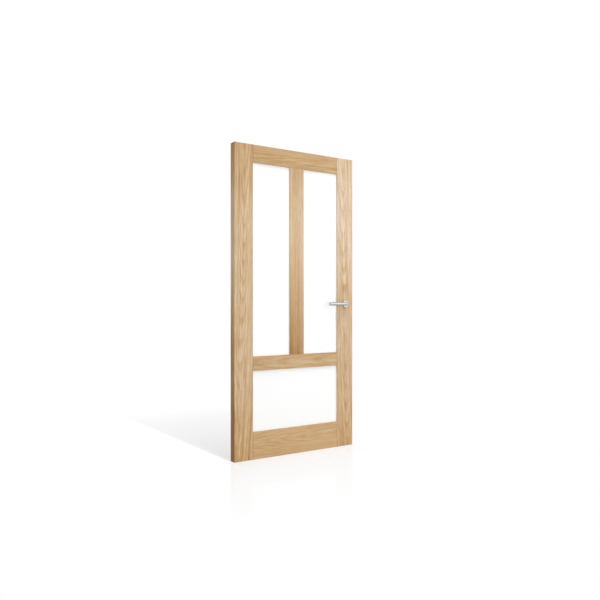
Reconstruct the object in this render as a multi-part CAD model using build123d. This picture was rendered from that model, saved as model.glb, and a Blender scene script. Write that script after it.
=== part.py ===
from build123d import *
import os

# Interior door leaf in oak: two tall lights of satin glass side by side over one wide light,
# with a passage latch and a pair of straight round levers.
# Millimetres. X runs from the hinge edge to the lock edge, Z is up, and the front faces -Y.
# The origin is on the hinge edge, at the foot of the leaf, in the middle of its thickness.

# Leaf
leaf_width = 930.0
leaf_height = 2015.0
leaf_thickness = 54.0
arris = 1.0                     # bevel round the front and the back of every member

# Stiles, rails and muntin
stile_width = 132.0
muntin_width = 108.0
top_rail_height = 115.0
mid_rail_height = 93.0
mid_rail_bottom = 567.0
bottom_rail_height = 177.0

# Mortice and tenon joints
tenon_thickness = 16.0
tenon_length = 45.0
tenon_cover = 5.0               # wood between a tenon and the glazing rebate
mortice_end_gap = 2.0
muntin_tenon_length = 32.0

# Glazing
lip_depth = 8.0                 # front lip, in one piece with the members
rebate_width = 15.0             # how far the rebate reaches in behind the lip
seal_thickness = 2.0
glass_thickness = 6.0
glass_edge_gap = 3.0
bead_land = 4.0                 # straight part of a bead's edge, next to the glass
bead_nose = 3.0                 # what is left of a bead's width at the back
bead_set_back = 1.5             # how far the beads stay below the back face

# Latch
spindle_height = 996.0
backset = 65.0
spindle_size = 8.0
spindle_bore = 18.0
case_diameter = 25.0
case_tail = 15.0                # how far the case reaches past the spindle
follower_diameter = 16.0
follower_length = 14.0
forend_height = 57.0
forend_width = 25.0
forend_thickness = 3.0
forend_corner = 5.0
bolt_width = 12.0
bolt_height = 16.0
bolt_throw = 12.0
bolt_tail = 20.0                # part of the bolt inside the case
bolt_heel = 2.5                 # square part of the nose, in front of the forend
bolt_tip = 3.0                  # width of the bevelled nose at its end
bolt_clearance = 0.3

# Roses and levers
rose_diameter = 50.0
rose_thickness = 8.0
rose_edge_radius = 1.5
lever_diameter = 22.0
lever_reach = 156.0             # spindle axis to the free end
lever_standoff = 40.0           # leaf face to the axis of the grip
lever_bend_radius = 18.0
lever_end_radius = 2.5
neck_gap = 1.0                  # from the leaf's face to the end of the neck
socket_depth = 20.0
running_clearance = 0.08

# Places that follow from the sizes above
front_face = -leaf_thickness / 2
back_face = leaf_thickness / 2
lock_edge = leaf_width
left_opening = stile_width
right_opening = leaf_width - stile_width
muntin_left = (leaf_width - muntin_width) / 2
muntin_right = (leaf_width + muntin_width) / 2
mid_rail_top = mid_rail_bottom + mid_rail_height
top_rail_bottom = leaf_height - top_rail_height
glass_seat = front_face + lip_depth
glass_front = glass_seat + seal_thickness
glass_back = glass_front + glass_thickness
bead_seat = glass_back + seal_thickness
bead_depth = back_face - bead_set_back - bead_seat
tenon_shoulder = rebate_width + tenon_cover
spindle_x = leaf_width - backset
forend_seat = lock_edge - forend_thickness

# Each light: its left, right, lower and upper sight edges
lights = {
    "upper_left": (left_opening, muntin_left, mid_rail_top, top_rail_bottom),
    "upper_right": (muntin_right, right_opening, mid_rail_top, top_rail_bottom),
    "lower": (left_opening, right_opening, bottom_rail_height, mid_rail_bottom),
}


def block(x_range, y_range, z_range):
    """A box between two values on each axis."""
    size = [high - low for low, high in (x_range, y_range, z_range)]
    middle = [(low + high) / 2 for low, high in (x_range, y_range, z_range)]
    return Pos(*middle) * Box(*size)


def rod(x, y_start, y_end, z, diameter):
    """A round bar along Y."""
    plane = Plane(origin=(x, y_start, z), z_dir=(0, 1, 0))
    return extrude(plane * Circle(diameter / 2), amount=y_end - y_start)


def light_block(light, y_range, spread):
    """A box that fills a light, spread sideways past its sight edges."""
    left, right, low, high = light
    return block((left - spread, right + spread), y_range, (low - spread, high + spread))


def member(x_range, z_range):
    """A bar as thick as the leaf, bevelled round its front and its back."""
    bar = block(x_range, (front_face, back_face), z_range)
    layers = bar.edges().group_by(Axis.Y)
    return chamfer([*layers[0], *layers[-1]], length=arris)


def rebated(bar):
    """The bar with the glazing rebates of all lights cut into it from the back."""
    for light in lights.values():
        bar -= light_block(light, (glass_seat, back_face), rebate_width)
    return bar


def tenon(x_range, z_range):
    """The tongue of a joint, in the middle of the thickness."""
    return block(x_range, (-tenon_thickness / 2, tenon_thickness / 2), z_range)


def rail_tenons(low, high, reach):
    """Both tongues of a rail, reaching into the stiles by the given length."""
    span = (low + tenon_shoulder, high - tenon_shoulder)
    left = tenon((left_opening - reach, left_opening), span)
    right = tenon((right_opening, right_opening + reach), span)
    return left, right


def muntin_tenons(reach):
    """Both tongues of the muntin, reaching into the rails by the given length."""
    span = (muntin_left + tenon_shoulder, muntin_right - tenon_shoulder)
    lower = tenon(span, (mid_rail_top - reach, mid_rail_top))
    upper = tenon(span, (top_rail_bottom, top_rail_bottom + reach))
    return lower, upper


rails = {
    "top_rail": (top_rail_bottom, leaf_height),
    "mid_rail": (mid_rail_bottom, mid_rail_top),
    "bottom_rail": (0.0, bottom_rail_height),
}


def make_rail(name):
    """A rail between the stiles, with its tenons and, where the muntin meets it, a mortice."""
    low, high = rails[name]
    rail = rebated(member((left_opening, right_opening), (low, high)))
    for tongue in rail_tenons(low, high, tenon_length):
        rail += tongue
    for slot in muntin_tenons(muntin_tenon_length + mortice_end_gap):
        rail -= slot
    return rail


def make_muntin():
    """The upright bar between the two tall lights."""
    bar = rebated(member((muntin_left, muntin_right), (mid_rail_top, top_rail_bottom)))
    for tongue in muntin_tenons(muntin_tenon_length):
        bar += tongue
    return bar


def make_stile(x_range):
    """A full-height upright, with the rebates and the mortices of the rails."""
    stile = rebated(member(x_range, (0.0, leaf_height)))
    for low, high in rails.values():
        for slot in rail_tenons(low, high, tenon_length + mortice_end_gap):
            stile -= slot
    return stile


def make_lock_stile():
    """The stile on the lock side, bored for the latch case and the spindle."""
    stile = make_stile((right_opening, lock_edge))
    stile -= case_blank()
    stile -= forend_blank()
    stile -= rod(spindle_x, front_face, back_face, spindle_height, spindle_bore)
    return stile


def make_seal(light, y_start):
    """The thin frame of sealing tape on one side of a pane."""
    y_range = (y_start, y_start + seal_thickness)
    outer = light_block(light, y_range, rebate_width - glass_edge_gap)
    return outer - light_block(light, y_range, 0.0)


def make_glass(light):
    """A pane, held in the rebate with a gap all round its edge."""
    return light_block(light, (glass_front, glass_back), rebate_width - glass_edge_gap)


def make_bead(length):
    """A glazing bead along X, splayed towards the back and mitred at both ends.

    Its foot lies on z = 0 and its glass side on y = 0, and it grows towards the opening along +Z.
    """
    outline = Polyline(
        (0, 0, 0),
        (0, 0, rebate_width),
        (0, bead_land, rebate_width),
        (0, bead_depth, bead_nose),
        (0, bead_depth, 0),
        close=True,
    )
    bead = extrude(make_face(outline), amount=length / 2, both=True, dir=(1, 0, 0))
    for side in (-1, 1):
        mitre = Plane(origin=(side * length / 2, 0, 0), z_dir=(side, 0, 1))
        bead = split(bead, bisect_by=mitre, keep=Keep.BOTTOM)
    return bead


def make_beads(light):
    """The four mitred beads of a light, by the side of the light that they lie on."""
    left, right, low, high = light
    across = right - left + 2 * rebate_width
    upward = high - low + 2 * rebate_width
    x_middle = (left + right) / 2
    z_middle = (low + high) / 2
    places = {
        "bottom": (x_middle, low - rebate_width, 0, across),
        "left": (left - rebate_width, z_middle, 90, upward),
        "top": (x_middle, high + rebate_width, 180, across),
        "right": (right + rebate_width, z_middle, 270, upward),
    }
    return {
        side: Pos(x, bead_seat, z) * Rot(0, turn, 0) * make_bead(length)
        for side, (x, z, turn, length) in places.items()
    }


def case_blank():
    """The round body of the latch, from behind the forend to past the spindle."""
    plane = Plane(origin=(forend_seat, 0, spindle_height), z_dir=(-1, 0, 0))
    return extrude(plane * Circle(case_diameter / 2), amount=forend_seat - spindle_x + case_tail)


def forend_blank():
    """The forend plate before its window is cut."""
    plane = Plane(origin=(forend_seat, 0, spindle_height), x_dir=(0, 1, 0), z_dir=(1, 0, 0))
    outline = RectangleRounded(forend_width, forend_height, forend_corner)
    return extrude(plane * outline, amount=forend_thickness)


def bolt_hole(x_range, clearance):
    """The rectangular way that the bolt slides in."""
    half_width = bolt_width / 2 + clearance
    half_height = bolt_height / 2 + clearance
    z_range = (spindle_height - half_height, spindle_height + half_height)
    return block(x_range, (-half_width, half_width), z_range)


def make_case():
    """The latch body, with the slide of the bolt and the cross hole of the follower."""
    slide_end = lock_edge - bolt_tail - bolt_throw
    case = case_blank() - bolt_hole((slide_end, forend_seat), 0.0)
    hole_diameter = follower_diameter + 2 * running_clearance
    half_case = case_diameter / 2
    return case - rod(spindle_x, -half_case, half_case, spindle_height, hole_diameter)


def make_forend():
    """The plate let into the lock edge, with the window of the bolt."""
    return forend_blank() - bolt_hole((forend_seat, lock_edge), bolt_clearance)


def make_bolt():
    """The spring bolt, bevelled on the front, which meets the keep as the leaf closes."""
    tip = lock_edge + bolt_throw
    bolt = bolt_hole((lock_edge - bolt_tail, tip), 0.0)
    half_width = bolt_width / 2
    low = spindle_height - bolt_height / 2
    wedge = Polyline(
        (lock_edge + bolt_heel, -half_width, low),
        (tip, -half_width, low),
        (tip, half_width - bolt_tip, low),
        close=True,
    )
    return bolt - extrude(make_face(wedge), amount=bolt_height, dir=(0, 0, 1))


def make_follower():
    """The hub inside the latch that the spindle turns."""
    half_length = follower_length / 2
    hub = rod(spindle_x, -half_length, half_length, spindle_height, follower_diameter)
    return hub - spindle_bar(half_length)


def spindle_bar(half_length):
    """A square bar on the spindle axis, across the leaf."""
    half_size = spindle_size / 2
    return block(
        (spindle_x - half_size, spindle_x + half_size),
        (-half_length, half_length),
        (spindle_height - half_size, spindle_height + half_size),
    )


def make_spindle():
    """The square bar from the socket of one lever to that of the other."""
    return spindle_bar(back_face + neck_gap + socket_depth)


def make_rose():
    """The round cover plate on the front, bored for the neck of the lever."""
    plane = Plane(origin=(spindle_x, front_face, spindle_height), z_dir=(0, -1, 0))
    disc = extrude(plane * Circle(rose_diameter / 2), amount=rose_thickness)
    disc = fillet(disc.edges().sort_by(Axis.Y)[0], radius=rose_edge_radius)
    bore_diameter = lever_diameter + 2 * running_clearance
    return disc - rod(spindle_x, front_face - rose_thickness, front_face, spindle_height, bore_diameter)


def make_lever():
    """The front lever: a round bar that leaves the rose, bends and runs to its free end."""
    neck_end = front_face - neck_gap
    grip = front_face - lever_standoff
    path = FilletPolyline(
        (spindle_x, neck_end, spindle_height),
        (spindle_x, grip, spindle_height),
        (spindle_x - lever_reach, grip, spindle_height),
        radius=lever_bend_radius,
    )
    start = Plane(origin=(spindle_x, neck_end, spindle_height), z_dir=(0, -1, 0))
    bar = sweep(start * Circle(lever_diameter / 2), path=path)
    bar = fillet(bar.edges().sort_by(Axis.X)[0], radius=lever_end_radius)
    return bar - make_spindle()


def make_nodes():
    """Every piece of the door, by its name."""
    nodes = {
        "hinge_stile": make_stile((0.0, left_opening)),
        "lock_stile": make_lock_stile(),
        "muntin": make_muntin(),
    }
    for name in rails:
        nodes[name] = make_rail(name)
    for name, light in lights.items():
        nodes[f"{name}_glass"] = make_glass(light)
        nodes[f"{name}_front_seal"] = make_seal(light, glass_seat)
        nodes[f"{name}_back_seal"] = make_seal(light, glass_back)
        for side, bead in make_beads(light).items():
            nodes[f"{name}_bead_{side}"] = bead
    nodes["latch_case"] = make_case()
    nodes["forend_plate"] = make_forend()
    nodes["latch_bolt"] = make_bolt()
    nodes["latch_follower"] = make_follower()
    nodes["spindle"] = make_spindle()
    nodes["front_rose"] = make_rose()
    nodes["back_rose"] = mirror(make_rose(), about=Plane.XZ)
    nodes["front_lever"] = make_lever()
    nodes["back_lever"] = mirror(make_lever(), about=Plane.XZ)
    return nodes


os.makedirs("parts", exist_ok=True)
for node_name, solid in make_nodes().items():
    export_step(solid, f"parts/{node_name}.step")
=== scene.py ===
import math

import bmesh
import bpy
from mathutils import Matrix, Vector


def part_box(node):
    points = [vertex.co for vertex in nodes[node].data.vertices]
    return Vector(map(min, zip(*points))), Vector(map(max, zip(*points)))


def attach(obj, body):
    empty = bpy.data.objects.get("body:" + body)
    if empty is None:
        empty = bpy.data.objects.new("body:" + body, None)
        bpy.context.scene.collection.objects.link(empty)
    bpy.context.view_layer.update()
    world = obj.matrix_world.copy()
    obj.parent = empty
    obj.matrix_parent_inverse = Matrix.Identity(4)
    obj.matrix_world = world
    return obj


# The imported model
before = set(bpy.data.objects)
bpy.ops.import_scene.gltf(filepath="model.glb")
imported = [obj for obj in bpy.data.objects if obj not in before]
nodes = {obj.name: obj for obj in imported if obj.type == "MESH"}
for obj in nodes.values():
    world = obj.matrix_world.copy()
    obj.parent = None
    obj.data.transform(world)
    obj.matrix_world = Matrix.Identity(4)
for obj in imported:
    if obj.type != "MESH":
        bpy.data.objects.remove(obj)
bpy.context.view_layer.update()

# The size of the door and the place of the spindle, read from the frame
hinge_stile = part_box("hinge_stile")
lock_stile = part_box("lock_stile")
leaf_height = hinge_stile[1][2]
lock_edge = lock_stile[1][0]
rose_low, rose_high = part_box("front_rose")
spindle_x = (rose_low[0] + rose_high[0]) / 2
spindle_z = (rose_low[2] + rose_high[2]) / 2

# The shadow on the floor, in metres: how far it reaches behind the door, where its end begins to
# fade, how far outside the door its sides begin to fade at the door and at its end, how soft they
# are there, and how soft it is in front of the door
shadow_reach = 2.05
shadow_fade = 1.35
shadow_side_near = -0.025
shadow_side_far = 0.017
shadow_blur_near = 0.05
shadow_blur_far = 0.11
shadow_blur_front = 0.26

# How much of the floor's plain white lies over the shadow, at the door and at the shadow's end
shadow_pale_near = 0.61
shadow_pale_far = 0.86

# The floor, in metres: its radius, how far it lies under the door's foot, and how far in front of
# the door its polish begins. The polish itself is the share of light that the floor reflects
floor_radius = 30.0
floor_drop = 0.0005
polish_reach = 1.0
floor_polish = 0.12

# How strongly the white surround lights the door, where 1 is white
world_light = 0.36

# Places of the small fasteners, in metres: the screws off the middle of the forend, the grub screws
# off the rose, the straight edge of a bead at the glass and its width at the back, the pins off the
# ends of the bead, and the pins from each other
screw_offset = 0.0195
grub_offset = 0.007
bead_land = 0.004
bead_nose = 0.003
pin_margin = 0.055
pin_spacing = 0.19

# Profiles of the small fasteners: radii and heights in metres, from the inner end outwards
screw_profile = ((0.0020, -0.0016), (0.0036, 0.0), (0.0035, 0.00012), (0.0027, 0.00034))
grub_profile = ((0.0024, -0.0010), (0.0024, 0.00002), (0.0021, 0.00012))
pin_profile = ((0.0013, -0.0004), (0.0013, 0.00001), (0.0009, 0.00009))

# Recesses, in metres: the reach and half width of the cross and the half width of the hexagon, and
# the heights of their mouths and floors
cross_mouth = (0.0021, 0.00042)
cross_floor = (0.0017, 0.0003)
cross_mouth_height = 0.0004
cross_floor_height = -0.0012
hexagon_half_width = 0.00125
hexagon_mouth_height = 0.00012
hexagon_floor_height = -0.0009

# Camera: where the photograph was taken from, in the door's frame
photo_size = 600
focal_pixels = 610.1
horizon_pixel = 303.82
sensor_width = 36.0
camera_place = Vector((-1.7232, -3.4664, 0.9967))
camera_azimuth = math.radians(32.744)


def make_camera():
    """A level camera at the photograph's place, with a small shift for its horizon."""
    data = bpy.data.cameras.new("photo_camera")
    data.sensor_width = sensor_width
    data.lens = sensor_width * focal_pixels / photo_size
    data.shift_y = (horizon_pixel - photo_size / 2) / photo_size
    camera = bpy.data.objects.new("photo_camera", data)
    camera.location = camera_place
    camera.rotation_euler = (math.pi / 2, 0, -camera_azimuth)
    bpy.context.scene.collection.objects.link(camera)
    bpy.context.scene.camera = camera


# Node helpers
def linear(red, green, blue):
    """A colour picked in sRGB, 0 to 255, as the linear values that nodes take."""
    values = []
    for channel in (red, green, blue):
        value = channel / 255
        values.append(value / 12.92 if value <= 0.04045 else ((value + 0.055) / 1.055) ** 2.4)
    return (*values, 1.0)


def feed(tree, socket, value):
    """Links a socket to another node's output, or sets its value."""
    if isinstance(value, bpy.types.NodeSocket):
        tree.links.new(value, socket)
    else:
        socket.default_value = value


def add(tree, kind, inputs=None, **settings):
    """Adds a node, with its settings and its inputs by name or number."""
    node = tree.nodes.new(kind)
    for name, value in settings.items():
        setattr(node, name, value)
    for key, value in (inputs or {}).items():
        feed(tree, node.inputs[key], value)
    return node


def calc(tree, operation, *values):
    """A math node's result."""
    return add(tree, "ShaderNodeMath", dict(enumerate(values)), operation=operation).outputs[0]


def combine(tree, x, y, z):
    """A vector of three values."""
    return add(tree, "ShaderNodeCombineXYZ", {0: x, 1: y, 2: z}).outputs[0]


def split(tree, vector):
    """The three values of a vector."""
    return add(tree, "ShaderNodeSeparateXYZ", {0: vector}).outputs


def own_place(tree):
    """The place on an object, in its own space."""
    return add(tree, "ShaderNodeTexCoord").outputs["Object"]


def distance(tree, first, second):
    """How far away a place is that lies this far off along two axes."""
    squares = [calc(tree, "MULTIPLY", value, value) for value in (first, second)]
    return calc(tree, "SQRT", calc(tree, "ADD", *squares))


def blend(tree, share, first, second):
    """A value that goes from the first to the second as the share goes from 0 to 1."""
    return calc(tree, "MULTIPLY_ADD", share, calc(tree, "SUBTRACT", second, first), first)


def noise(tree, vector, scale, detail=2.0, roughness=0.5):
    """Noise from 0 to 1."""
    inputs = {"Vector": vector, "Scale": scale, "Detail": detail, "Roughness": roughness}
    return add(tree, "ShaderNodeTexNoise", inputs).outputs[0]


def remap(tree, value, low, high, to_low=0.0, to_high=1.0, smooth=False):
    """A value stretched from one range to another and held inside it."""
    inputs = {"Value": value, "From Min": low, "From Max": high, "To Min": to_low, "To Max": to_high}
    kind = "SMOOTHSTEP" if smooth else "LINEAR"
    return add(tree, "ShaderNodeMapRange", inputs, interpolation_type=kind).outputs[0]


def ramp(tree, value, stops, smooth=False):
    """A colour ramp over stops of (position, colour)."""
    node = add(tree, "ShaderNodeValToRGB", {0: value})
    elements = node.color_ramp.elements
    node.color_ramp.interpolation = "B_SPLINE" if smooth else "LINEAR"
    while len(elements) < len(stops):
        elements.new(0.5)
    for element, (position, colour) in zip(elements, stops):
        element.position = position
        element.color = colour
    return node.outputs[0]


def mix(tree, factor, first, second, blend_type="MIX"):
    """Two colours mixed."""
    node = add(tree, "ShaderNodeMix", data_type="RGBA", blend_type=blend_type)
    feed(tree, node.inputs[0], factor)
    feed(tree, node.inputs[6], first)
    feed(tree, node.inputs[7], second)
    return node.outputs[2]


def new_material(name):
    """A material with a bare node tree: its tree and its Principled shader."""
    material = bpy.data.materials.new(name)
    material.use_nodes = True
    tree = material.node_tree
    tree.nodes.clear()
    shader = add(tree, "ShaderNodeBsdfPrincipled")
    output = add(tree, "ShaderNodeOutputMaterial")
    tree.links.new(shader.outputs[0], output.inputs["Surface"])
    return material, tree, shader


def add_bump(tree, shader, height, strength, depth):
    """Fine relief on a shader, with its depth in metres."""
    bump = add(tree, "ShaderNodeBump", {"Strength": strength, "Distance": depth, "Height": height})
    feed(tree, shader.inputs["Normal"], bump.outputs[0])


# Heights in metres: below the first the grain sweeps sideways, and below the second the wood is tinted warmer
# and darker towards the foot
sweep_height = 0.62
warm_height = 0.50
FOOT_TINT = (1.0, 0.95, 0.85, 1.0)

# The oak's colours, from the darkest grain to the lightest, and the tone of plain wood
OAK_TONES = (
    (0.00, linear(134, 93, 46)),
    (0.25, linear(171, 133, 83)),
    (0.45, linear(186, 154, 112)),
    (0.60, linear(197, 168, 131)),
    (0.80, linear(211, 190, 162)),
    (1.00, linear(222, 208, 189)),
)
plain_tone = 0.475
PORE_COLOUR = linear(120, 84, 46)
# Colours of the painted shade lines along the joints at a rail's low and high end
LOW_JOINT_SHADE = linear(128, 116, 102)
HIGH_JOINT_SHADE = linear(104, 84, 66)

# Kinds of grain: the share of the length that is kept, so that less draws the grain out more, and
# the scale, detail and roughness of its noise
OAK_GRAIN = {
    "broad": (0.018, 34.0, 2.0, 0.5),
    "bands": (0.012, 78.0, 1.0, 0.5),
    "lines": (0.006, 150.0, 2.0, 0.7),
    "streaks": (0.018, 130.0, 2.0, 0.6),
    "fine": (0.030, 300.0, 2.0, 0.6),
    "fibres": (0.018, 700.0, 3.0, 0.65),
    "cloud": (0.4, 11.0, 2.0, 0.5),
    "dark": (0.006, 62.0, 1.0, 0.5),
    "ticks": (0.05, 360.0, 1.0, 0.5),
    "pores": (0.06, 1500.0, 1.0, 0.5),
}

# How far each kind moves the tone up and down
OAK_LAYERS = {
    "broad": 0.30, "bands": 0.50, "lines": 0.42, "streaks": 0.46,
    "fine": 0.40, "fibres": 0.24, "cloud": 0.24, "rings": 0.13,
}

# How far the ticks and the dark lines lower the tone, and how strongly the pores show their colour
tick_depth = 0.16
dark_depth = 0.17
pore_share = 0.40

# How far the heart of the log sways and ripples, in metres
sway_reach = 0.030
ripple_reach = 0.0022

# The painted shade line along a joint, in metres: how far from the joint it is full and where it
# ends. The share is how strongly it shows
joint_core = 0.0006
joint_end = 0.0028
joint_shade_share = 0.8

# The painted shade on a leaf edge, in metres: how far off the edge's plane it is full and where it ends
edge_core = 0.0004
edge_end = 0.0008


def grain_space(tree, place, along, heart, shift, lean, sweep):
    """The place in the log, in metres: across the board, through it, and along the grain."""
    x, y, z = split(tree, place)
    across, length = (x, z) if along == "Z" else (z, x)
    u = calc(tree, "SUBTRACT", calc(tree, "MULTIPLY_ADD", length, -lean, across), heart[0])
    if sweep:
        below = calc(tree, "MAXIMUM", calc(tree, "SUBTRACT", sweep_height, length), 0.0)
        curve = calc(tree, "MULTIPLY", calc(tree, "MULTIPLY", below, below), sweep)
        u = calc(tree, "ADD", u, curve)
    v = calc(tree, "SUBTRACT", y, heart[1])
    w = calc(tree, "ADD", length, shift)
    return u, v, w


def drawn_out(tree, log, share):
    """A place in the log with only a share of its length, so that noise there runs with the grain."""
    u, v, w = log
    return combine(tree, u, v, calc(tree, "MULTIPLY", w, share))


def ring_radius(tree, log, taper):
    """How far from the heart of the log a place is, with the sway of a real trunk."""
    slow = drawn_out(tree, log, 0.10)
    sway = noise(tree, slow, 9.0, 1.0)
    ripple = noise(tree, slow, 70.0, 2.0)
    u, v, w = log
    radius = distance(tree, u, v)
    radius = calc(tree, "MULTIPLY_ADD", sway, sway_reach, radius)
    radius = calc(tree, "MULTIPLY_ADD", ripple, ripple_reach, radius)
    return calc(tree, "MULTIPLY_ADD", w, -taper, radius)


def growth_rings(tree, radius, spacing):
    """Growth rings cut by the face of the board: 0 in the open early wood, 1 in the late wood."""
    ring = calc(tree, "FRACT", calc(tree, "DIVIDE", radius, spacing))
    rise = remap(tree, ring, 0.10, 0.55, smooth=True)
    fall = remap(tree, ring, 0.90, 1.0, 1.0, 0.0, smooth=True)
    return calc(tree, "MULTIPLY", rise, fall)


def board_tone(tree, share, tones):
    """How much lighter or darker than usual the board is, at even steps of its length.

    share is how far along the board a place is, from 0 to 1.
    """
    stops = []
    for step, tone in enumerate(tones):
        stops.append((step / (len(tones) - 1), (0.5 + tone, 0.5 + tone, 0.5 + tone, 1.0)))
    return calc(tree, "SUBTRACT", ramp(tree, share, stops, smooth=True), 0.5)


def normal_along(tree, axis):
    """How squarely the surface faces along an axis, from 0 to 1."""
    normal = add(tree, "ShaderNodeNewGeometry").outputs["Normal"]
    return calc(tree, "ABSOLUTE", split(tree, normal)[axis])


def oak_grain(tree, log, radius, spacing, flame):
    """Every kind of grain by name. flame says how far the bands and lines follow the growth rings."""
    grain = {"rings": growth_rings(tree, radius, spacing)}
    for kind, (share, scale, detail, roughness) in OAK_GRAIN.items():
        grain[kind] = noise(tree, drawn_out(tree, log, share), scale, detail, roughness)
    ring_space = combine(tree, radius, 0.0, calc(tree, "MULTIPLY", log[2], 0.05))
    wide_flames = noise(tree, ring_space, 120.0, 1.0)
    thin_flames = noise(tree, ring_space, 330.0, 2.0, 0.6)
    grain["bands"] = blend(tree, flame, grain["bands"], wide_flames)
    grain["lines"] = blend(tree, flame, grain["lines"], thin_flames)
    for kind in ("dark", "ticks"):
        grain[kind] = remap(tree, grain[kind], 0.60, 0.72, smooth=True)
    pores = remap(tree, grain["pores"], 0.62, 0.74, smooth=True)
    early_wood = remap(tree, grain["rings"], 0.0, 0.8, 1.0, 0.2)
    grain["pores"] = calc(tree, "MULTIPLY", pores, early_wood)
    return grain


def grain_tone(tree, grain, contrast):
    """The tone that the grain gives, where 0 is the darkest of OAK_TONES and 1 the lightest."""
    tone = plain_tone
    for kind, share in OAK_LAYERS.items():
        share = share * contrast
        tone = calc(tree, "MULTIPLY_ADD", grain[kind], share, calc(tree, "ADD", tone, -share / 2))
    tone = calc(tree, "MULTIPLY_ADD", grain["ticks"], -tick_depth, tone)
    return calc(tree, "MULTIPLY_ADD", grain["dark"], -dark_depth * contrast, tone)


def painted_edge_shade(tree, x, share, lift, edge):
    """The board's lift, with the painted shade of a leaf edge in place of it on the edge's plane."""
    plane, tones = edge
    off = calc(tree, "ABSOLUTE", calc(tree, "SUBTRACT", x, plane))
    on_edge = remap(tree, off, edge_core, edge_end, 1.0, 0.0)
    return blend(tree, on_edge, lift, board_tone(tree, share, tones))


def end_grain(tree, along, grain, tone):
    """The tone, with that of end grain in place of it on the ends of the board."""
    on_end = remap(tree, normal_along(tree, along), 0.85, 0.95)
    end_tone = calc(tree, "MULTIPLY_ADD", grain["rings"], 0.16, 0.12)
    end_tone = calc(tree, "MULTIPLY_ADD", grain["fine"], 0.22, end_tone)
    return blend(tree, on_end, tone, end_tone)


def joint_shade_lines(tree, length, ends, colour):
    """The colour, with a painted shade line along the joint at each end of a rail."""
    low, high = ends
    joints = (
        (calc(tree, "SUBTRACT", length, low), LOW_JOINT_SHADE),
        (calc(tree, "SUBTRACT", high, length), HIGH_JOINT_SHADE),
    )
    for off, shade_colour in joints:
        near = remap(tree, off, joint_core, joint_end, 1.0, 0.0)
        colour = mix(tree, calc(tree, "MULTIPLY", near, joint_shade_share), colour, shade_colour)
    return colour


def oak(
    name, along, heart, shift, lean=0.0, sweep=0.0, contrast=1.0, taper=0.03, spacing=0.0045,
    tones=(0, 0), flames=(0, 0), ends=None, edge=None,
):
    """Oiled oak, with its grain along an axis.

    heart is the middle of the log across and through the board, and shift the board's place along it.
    lean and sweep turn and bend the grain across the board, contrast strengthens it, and taper is how
    fast the log narrows. tones and flames go along the board: how light it is, partly the board's own tone
    and partly painted light and shade, and how far its figure follows the growth rings, which are a
    spacing apart. ends are the two joints of a rail, each with a painted shade line, and edge is the
    plane and the tones of a leaf edge, which are painted shade.
    """
    material, tree, shader = new_material(name)
    place = own_place(tree)
    x, _, z = split(tree, place)
    length, span = (z, leaf_height) if along == "Z" else (x, lock_edge)
    share = calc(tree, "DIVIDE", length, span)
    log = grain_space(tree, place, along, heart, shift, lean, sweep)
    radius = ring_radius(tree, log, taper)
    grain = oak_grain(tree, log, radius, spacing, board_tone(tree, share, flames))

    # Lightness along the board: partly its own tone and partly painted light and shade
    lift = board_tone(tree, share, tones)
    # A leaf edge gets painted shade in place of the board's lift
    if edge:
        lift = painted_edge_shade(tree, x, share, lift, edge)
    tone = calc(tree, "ADD", grain_tone(tree, grain, contrast), lift)
    colour = ramp(tree, end_grain(tree, along, grain, tone), OAK_TONES)
    colour = mix(tree, calc(tree, "MULTIPLY", grain["pores"], pore_share), colour, PORE_COLOUR)
    foot = remap(tree, z, 0.0, warm_height, 1.0, 0.0)
    colour = mix(tree, foot, colour, FOOT_TINT, blend_type="MULTIPLY")
    if ends:
        colour = joint_shade_lines(tree, length, ends, colour)

    feed(tree, shader.inputs["Base Color"], colour)
    feed(tree, shader.inputs["Roughness"], remap(tree, grain["fibres"], 0.3, 0.7, 0.62, 0.46))
    shader.inputs["Specular IOR Level"].default_value = 0.35
    relief = calc(tree, "MULTIPLY_ADD", grain["pores"], -1.0, calc(tree, "MULTIPLY", grain["fibres"], 0.7))
    add_bump(tree, shader, relief, strength=0.35, depth=0.00025)
    return material


def satin_glass():
    """White satin glass, which lets a little light through and shows nothing behind it."""
    material, tree, shader = new_material("satin_glass")
    etch = noise(tree, own_place(tree), 1400.0)
    tint = mix(tree, etch, (0.97, 0.975, 0.975, 1.0), (0.99, 0.992, 0.992, 1.0))
    feed(tree, shader.inputs["Base Color"], tint)
    feed(tree, shader.inputs["Roughness"], remap(tree, etch, 0.3, 0.7, 0.48, 0.56))
    shader.inputs["Transmission Weight"].default_value = 0.12
    shader.inputs["IOR"].default_value = 1.5
    add_bump(tree, shader, etch, strength=0.2, depth=0.00002)
    return material


def satin_steel(name, turned):
    """Stainless steel, brushed round the spindle axis where it is turned and along X elsewhere."""
    material, tree, shader = new_material(name)
    place = own_place(tree)
    x, y, z = split(tree, place)
    if turned:
        radius = distance(tree, calc(tree, "SUBTRACT", x, spindle_x), calc(tree, "SUBTRACT", z, spindle_z))
        brushed = combine(tree, radius, y, 0.0)
    else:
        brushed = combine(tree, calc(tree, "MULTIPLY", x, 0.02), y, z)
    scratches = noise(tree, brushed, 2600.0, 2.0, 0.6)
    smudge = noise(tree, place, 38.0)
    tint = mix(tree, scratches, linear(160, 159, 155), linear(188, 187, 183))
    if turned:
        # Painted shade: the side walls of turned steel, which don't face along Y, are darker
        painted_rim_shade = remap(tree, normal_along(tree, "Y"), 0.3, 0.8, 1.0, 0.0)
        tint = mix(tree, calc(tree, "MULTIPLY", painted_rim_shade, 0.8), tint, linear(112, 109, 104))
    feed(tree, shader.inputs["Base Color"], tint)
    shader.inputs["Metallic"].default_value = 1.0
    rough = calc(tree, "MULTIPLY_ADD", scratches, 0.12, calc(tree, "MULTIPLY_ADD", smudge, 0.08, 0.30))
    feed(tree, shader.inputs["Roughness"], rough)
    add_bump(tree, shader, scratches, strength=0.25, depth=0.00004)
    return material


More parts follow.
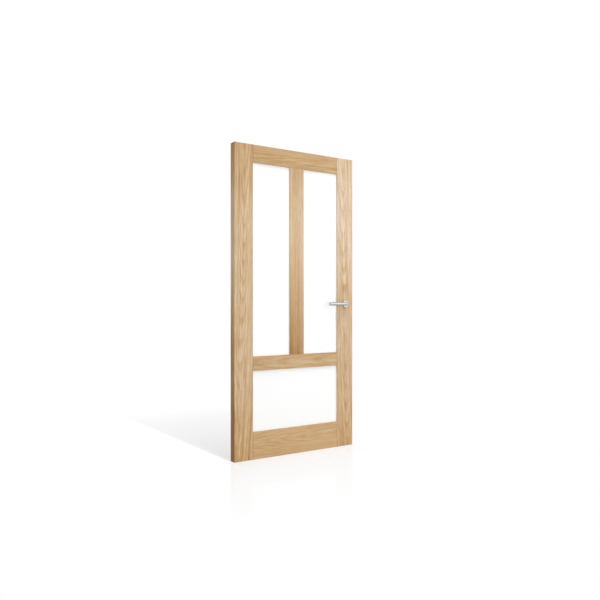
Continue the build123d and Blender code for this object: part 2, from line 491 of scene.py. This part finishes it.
def zinc_steel():
    """Dull plated steel of the pieces inside the latch and of the grub screws."""
    material, tree, shader = new_material("zinc_steel")
    spangle = noise(tree, own_place(tree), 420.0)
    feed(tree, shader.inputs["Base Color"], mix(tree, spangle, linear(150, 152, 150), linear(186, 187, 184)))
    shader.inputs["Metallic"].default_value = 1.0
    feed(tree, shader.inputs["Roughness"], remap(tree, spangle, 0.3, 0.7, 0.38, 0.55))
    return material


def sealing_tape():
    """Pale closed-cell tape between the glass and the wood."""
    material, tree, shader = new_material("sealing_tape")
    cells = noise(tree, own_place(tree), 900.0)
    feed(tree, shader.inputs["Base Color"], mix(tree, cells, linear(186, 176, 160), linear(204, 195, 180)))
    shader.inputs["Roughness"].default_value = 0.85
    add_bump(tree, shader, cells, strength=0.3, depth=0.0002)
    return material


def oak_filler():
    """Wood filler over the pins, a little darker than the beads."""
    material, tree, shader = new_material("oak_filler")
    grit = noise(tree, own_place(tree), 2400.0)
    feed(tree, shader.inputs["Base Color"], mix(tree, grit, linear(138, 98, 58), linear(160, 120, 76)))
    shader.inputs["Roughness"].default_value = 0.7
    return material


def paint(node, material):
    """Gives a node one material."""
    slots = nodes[node].data.materials
    slots.clear()
    slots.append(material)


def paint_members():
    """A board of its own for every member, with tones along it that are partly its own and partly painted
    light and shade.
    """
    hinge_middle = (hinge_stile[0][0] + hinge_stile[1][0]) / 2
    lock_middle = (lock_stile[0][0] + lock_stile[1][0]) / 2
    muntin_low, muntin_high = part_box("muntin")
    muntin_middle = (muntin_low[0] + muntin_high[0]) / 2
    paint("hinge_stile", oak(
        "oak_hinge_stile", "Z", heart=(hinge_middle - 0.03, 0.075), shift=3.1,
        lean=0.02, sweep=0.05, contrast=1.15,
        tones=(-0.04, 0.13, 0.06, 0.20, -0.16), flames=(1.0, 0.3, 0.1, 0.2, 0.5),
        # The hinge edge's tones are painted shade, darkest at the foot and dark again at the head
        edge=(hinge_stile[0][0], (-0.62, -0.42, 0.14, 0.32, -0.36)),
    ))
    # The lock stile's lighter upper tones are partly a painted sheen
    paint("lock_stile", oak(
        "oak_lock_stile", "Z", heart=(lock_middle + 0.012, 0.09), shift=7.7,
        lean=-0.02, sweep=-0.04, contrast=1.15,
        tones=(-0.04, 0.12, 0.04, 0.34, 0.18), flames=(1.0, 0.3, 0.7, 0.1, 0.1),
        # The lock edge is darkened with painted shade too
        edge=(lock_edge, (-0.16, -0.12, -0.12)),
    ))
    paint("muntin", oak(
        "oak_muntin", "Z", heart=(muntin_middle - 0.30, 0.30), shift=11.3,
        contrast=0.8, tones=(-0.34, -0.50, -0.04, 0.28, -0.04),
    ))
    # Rail tones are partly painted light and shade: the top rail darker, the bottom rail lighter
    rail_tones_and_shade = {
        "top_rail": (-0.14, -0.08, -0.02),
        "mid_rail": (-0.03, -0.02, -0.02),
        "bottom_rail": (0.05, 0.04, 0.08),
    }
    for count, (name, tones) in enumerate(rail_tones_and_shade.items()):
        low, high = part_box(name)
        middle = (low[2] + high[2]) / 2
        paint(name, oak(
            f"oak_{name}", "X", heart=(middle + 0.03 * (count - 1), 0.12), shift=5.3 * (count + 1),
            contrast=0.7, taper=0.02, tones=tones, flames=(0.6, 0.5, 0.6),
            ends=(hinge_stile[1][0], lock_stile[0][0]),
        ))


def paint_beads():
    """Two runs of bead stock, one for the upright beads and one for the level ones."""
    upright = oak("oak_bead_upright", "Z", heart=(0.3, 0.4), shift=21.0, spacing=0.004)
    level = oak("oak_bead_level", "X", heart=(0.3, 0.4), shift=25.0, spacing=0.004)
    for node in nodes:
        if "_bead_" in node:
            side = node.rsplit("_", 1)[1]
            paint(node, upright if side in ("left", "right") else level)


def paint_glazing():
    """Panes and their tape."""
    glass = satin_glass()
    tape = sealing_tape()
    for node in nodes:
        if node.endswith("_glass"):
            paint(node, glass)
        elif node.endswith("_seal"):
            paint(node, tape)


def paint_latch(straight, turned, inside):
    """The latch, the roses and the levers."""
    for node in ("front_lever", "back_lever", "forend_plate", "latch_bolt"):
        paint(node, straight)
    for node in ("front_rose", "back_rose"):
        paint(node, turned)
    for node in ("latch_case", "latch_follower", "spindle"):
        paint(node, inside)


# Small fasteners
def cross_outline(reach, width):
    """The outline of a cross recess: its radius at an angle."""
    def radius(angle):
        c = max(abs(math.cos(angle)), 0.001)
        s = max(abs(math.sin(angle)), 0.001)
        return max(min(reach / c, width / s), min(reach / s, width / c))
    return radius


def hexagon_outline(half_width):
    """The outline of a hexagon socket: its radius at an angle."""
    def radius(angle):
        return half_width / math.cos(angle % (math.pi / 3) - math.pi / 6)
    return radius


def stack_rings(shape, place, axis, rings, points=48):
    """Adds a closed form to a mesh, from rings of a radius or an outline and a height along an axis."""
    turn = Vector(axis).to_track_quat("Z", "Y").to_matrix()
    loops = []
    for outline, height in rings:
        loop = []
        for step in range(points):
            angle = 2 * math.pi * (step + 0.5) / points
            radius = outline(angle) if callable(outline) else outline
            local = Vector((radius * math.cos(angle), radius * math.sin(angle), height))
            loop.append(shape.verts.new(Vector(place) + turn @ local))
        loops.append(loop)
    shape.faces.new(list(reversed(loops[0])))
    for lower, upper in zip(loops, loops[1:]):
        for step in range(points):
            after = (step + 1) % points
            shape.faces.new((lower[step], lower[after], upper[after], upper[step]))
    shape.faces.new(loops[-1])


def make_piece(name, shape, material, body):
    """A piece of the scene that rides on a body, with its material and slot."""
    mesh = bpy.data.meshes.new(name)
    shape.to_mesh(mesh)
    shape.free()
    mesh.materials.append(material)
    piece = bpy.data.objects.new(name, mesh)
    bpy.context.scene.collection.objects.link(piece)
    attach(piece, body)


def add_forend_screws(material):
    """Two countersunk screws with a cross recess, above and below the bolt."""
    low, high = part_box("forend_plate")
    middle = (low[2] + high[2]) / 2
    rings = (
        *screw_profile,
        (cross_outline(*cross_mouth), cross_mouth_height),
        (cross_outline(*cross_floor), cross_floor_height),
    )
    shape = bmesh.new()
    for side in (-1, 1):
        place = (high[0], (low[1] + high[1]) / 2, middle + side * screw_offset)
        stack_rings(shape, place, (1, 0, 0), rings)
    make_piece("forend_screws", shape, material, "leaf")


def add_grub_screws(material):
    """The hexagon grub screw under the neck of each lever, which holds it on the spindle."""
    hexagon = hexagon_outline(hexagon_half_width)
    rings = (*grub_profile, (hexagon, hexagon_mouth_height), (hexagon, hexagon_floor_height))
    for side in ("front", "back"):
        low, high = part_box(f"{side}_rose")
        outward = -1 if side == "front" else 1
        rose_face = low[1] if side == "front" else high[1]
        under_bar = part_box(f"{side}_lever")[0][2]
        place = (spindle_x, rose_face + outward * grub_offset, under_bar)
        shape = bmesh.new()
        stack_rings(shape, place, (0, 0, -1), rings)
        make_piece(f"{side}_grub_screw", shape, material, "levers")


def bead_pins(node):
    """The places of a bead's pins, along the middle of its splayed face, and the face's direction."""
    low, high = (Vector(corner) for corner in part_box(node))
    side = node.rsplit("_", 1)[1]
    width_axis, run_axis = (0, 2) if side in ("left", "right") else (2, 0)
    inward = 1 if side in ("left", "bottom") else -1
    foot = low[width_axis] if inward > 0 else high[width_axis]
    width = high[width_axis] - low[width_axis]
    depth = high[1] - low[1]
    axis = Vector((0, width - bead_nose, 0))
    axis[width_axis] = inward * (depth - bead_land)
    middle = Vector((0, low[1] + (bead_land + depth) / 2, 0))
    middle[width_axis] = foot + inward * (width + bead_nose) / 2
    run = high[run_axis] - low[run_axis] - 2 * pin_margin
    count = max(2, round(run / pin_spacing) + 1)
    places = []
    for step in range(count):
        place = middle.copy()
        place[run_axis] = low[run_axis] + pin_margin + run * step / (count - 1)
        places.append(place)
    return places, axis


def add_bead_pins(material):
    """Filled pin holes along the splayed face of every bead."""
    shape = bmesh.new()
    for node in nodes:
        if "_bead_" in node:
            places, axis = bead_pins(node)
            for place in places:
                stack_rings(shape, place, axis, pin_profile, points=12)
    make_piece("bead_pins", shape, material, "leaf")


# Studio
def seen_rays(tree):
    """1 for what the camera sees, straight, in a reflection or through glass."""
    path = add(tree, "ShaderNodeLightPath")
    seen = calc(tree, "MAXIMUM", path.outputs["Is Camera Ray"], path.outputs["Is Glossy Ray"])
    return calc(tree, "MAXIMUM", seen, path.outputs["Is Transmission Ray"])


def shadow_share(tree, across, behind):
    """How far the floor's plain white covers the door's shadow: 1 where no shadow is seen."""
    beside = calc(tree, "SUBTRACT", calc(tree, "ABSOLUTE", across), lock_edge / 2)
    side = remap(tree, behind, 0.0, shadow_reach, shadow_side_near, shadow_side_far)
    blur = remap(tree, behind, 0.0, shadow_reach, shadow_blur_near, shadow_blur_far)
    beside = calc(tree, "MAXIMUM", calc(tree, "SUBTRACT", beside, side), 0.0)
    beside = calc(tree, "DIVIDE", beside, blur)
    before = calc(tree, "DIVIDE", calc(tree, "MINIMUM", behind, 0.0), shadow_blur_front)
    outside = remap(tree, distance(tree, beside, before), 0.0, 1.0, smooth=True)
    paling = remap(tree, behind, 0.0, shadow_reach, shadow_pale_near, shadow_pale_far)
    paling = remap(tree, behind, shadow_fade, shadow_reach, paling, 1.0, smooth=True)
    return calc(tree, "MAXIMUM", outside, paling)


def white_floor():
    """A plain white that keeps a pale shadow and a faint reflection of the door."""
    material, tree, shader = new_material("white_floor")
    seen = seen_rays(tree)
    feed(tree, shader.inputs["Base Color"], mix(tree, seen, (0.70, 0.70, 0.70, 1.0), (0.92, 0.92, 0.92, 1.0)))
    shader.inputs["Roughness"].default_value = 0.9
    shader.inputs["Specular IOR Level"].default_value = 0.0
    white = add(tree, "ShaderNodeEmission", {0: (1.0, 1.0, 1.0, 1.0), 1: 1.0})
    gloss = add(tree, "ShaderNodeBsdfGlossy", {"Color": (1.0, 1.0, 1.0, 1.0), "Roughness": 0.16})
    across, behind, _ = split(tree, own_place(tree))
    share = shadow_share(tree, across, behind)
    lit = add(tree, "ShaderNodeMixShader", {0: share, 1: shader.outputs[0], 2: white.outputs[0]})
    polish = remap(tree, behind, -polish_reach, 0.0, 0.0, floor_polish)
    polished = add(tree, "ShaderNodeMixShader", {0: polish, 1: lit.outputs[0], 2: gloss.outputs[0]})
    both = add(tree, "ShaderNodeMixShader", {0: seen, 1: shader.outputs[0], 2: polished.outputs[0]})
    tree.links.new(both.outputs[0], tree.nodes["Material Output"].inputs["Surface"])
    return material


def make_floor(material):
    """A round floor under the middle of the door."""
    mesh = bpy.data.meshes.new("floor")
    shape = bmesh.new()
    bmesh.ops.create_circle(shape, cap_ends=True, segments=96, radius=floor_radius)
    shape.to_mesh(mesh)
    shape.free()
    mesh.materials.append(material)
    floor = bpy.data.objects.new("floor", mesh)
    floor.location = (lock_edge / 2, 0, -floor_drop)
    bpy.context.scene.collection.objects.link(floor)
    return floor


def make_world():
    """A white surround, dimmer as a source of light."""
    world = bpy.data.worlds.new("studio")
    bpy.context.scene.world = world
    world.use_nodes = True
    tree = world.node_tree
    tree.nodes.clear()
    strength = remap(tree, seen_rays(tree), 0.0, 1.0, world_light, 1.0)
    background = add(tree, "ShaderNodeBackground", {0: (1.0, 1.0, 1.0, 1.0), 1: strength})
    output = add(tree, "ShaderNodeOutputWorld")
    tree.links.new(background.outputs[0], output.inputs["Surface"])


def make_lamp(name, place, target, size, power):
    """A rectangular soft lamp, aimed at a point."""
    data = bpy.data.lights.new(name, "AREA")
    data.shape = "RECTANGLE"
    data.size, data.size_y = size
    data.energy = power
    lamp = bpy.data.objects.new(name, data)
    lamp.location = place
    direction = Vector(target) - Vector(place)
    lamp.rotation_euler = direction.to_track_quat("-Z", "Y").to_euler()
    bpy.context.scene.collection.objects.link(lamp)
    return lamp


def keep_off(lamp, obj):
    """Keeps a lamp's light off an object."""
    receivers = bpy.data.collections.new(f"{lamp.name}_receivers")
    receivers.objects.link(obj)
    receivers.collection_objects[0].light_linking.link_state = "EXCLUDE"
    lamp.light_linking.receiver_collection = receivers


def make_lamps(floor):
    """Soft lamps over and before the door, and two that light the door and not the floor."""
    make_lamp("ceiling_lamp", (0.15, -3.2, 8.0), target=(0.15, -3.1, 0.0), size=(0.8, 5.8), power=390)
    make_lamp("key_lamp", (3.3, -3.0, 2.2), target=(0.8, 0, 1.0), size=(2.4, 2.4), power=48)
    make_lamp("fill_lamp", (-0.4, -5.6, 0.9), target=(0.5, 0, 0.9), size=(2.6, 1.6), power=76)
    side = make_lamp("side_lamp", (-2.2, 0.4, 1.6), target=(0, 0, 1.45), size=(0.6, 0.6), power=8)
    back = make_lamp("back_lamp", (0.9, 5.0, 2.2), target=(0.5, 0, 1.0), size=(2.2, 2.2), power=85)
    keep_off(side, floor)
    keep_off(back, floor)


straight_steel = satin_steel("satin_steel_straight", turned=False)
turned_steel = satin_steel("satin_steel_turned", turned=True)
plated_steel = zinc_steel()

make_camera()
paint_members()
paint_beads()
paint_glazing()
paint_latch(straight_steel, turned_steel, plated_steel)
add_forend_screws(straight_steel)
add_grub_screws(plated_steel)
add_bead_pins(oak_filler())
make_world()
make_lamps(make_floor(white_floor()))
bpy.context.scene.view_settings.view_transform = "Standard"
